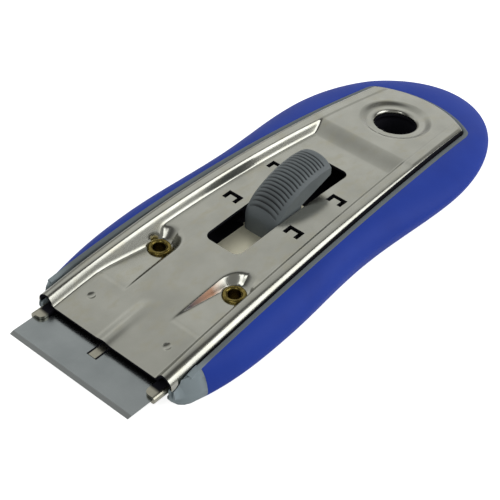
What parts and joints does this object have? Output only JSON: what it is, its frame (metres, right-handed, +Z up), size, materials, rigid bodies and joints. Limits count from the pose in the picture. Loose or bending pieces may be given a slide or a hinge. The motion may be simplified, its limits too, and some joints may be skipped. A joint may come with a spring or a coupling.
{
  "type": "razor blade scraper",
  "caption": "Hand scraper with a wide razor blade on a sliding carrier under a pressed steel plate, a ribbed thumb slide and a soft blue grip round a grey core.",
  "frame": {"origin": "centre of the bounding box on the underside", "axes": "+X along the tool from the blade to the rear end, +Y to the left seen from behind the blade, +Z up through the plate"},
  "size_m": [0.1568, 0.0588, 0.0192],
  "materials": {
    "core_grey": "satin moulding",
    "grip_blue": "matte soft overmould",
    "plate_steel": "bright nickel plated",
    "eyelet_brass": "polished",
    "blade_steel": "satin",
    "carrier_steel": "bright",
    "spring_steel": "satin",
    "slide_grey": "satin moulding"
  },
  "bodies": {
    "handle": {"handle_core": "core_grey", "soft_grip": "grip_blue", "top_plate": "plate_steel", "front_eyelets": "eyelet_brass"},
    "carriage": {"blade_carrier": "carrier_steel", "blade": "blade_steel", "spring_rivets": "spring_steel"},
    "latch": {"latch_spring": "spring_steel", "thumb_slide": "slide_grey"}
  },
  "joints": [
    {"name": "carriage_slide", "type": "slide", "parent": "handle", "child": "carriage", "axis": [1, 0, 0], "range_m": [-0.0135, 0.0176]},
    {"name": "latch_press", "type": "hinge", "parent": "carriage", "child": "latch", "pos_m": [-0.02265, 0, 0.0053], "axis": [0, 1, 0], "range_deg": [0, 2.5], "stiffness_Nm_per_rad": 3, "springref_deg": -1.72}
  ]
}
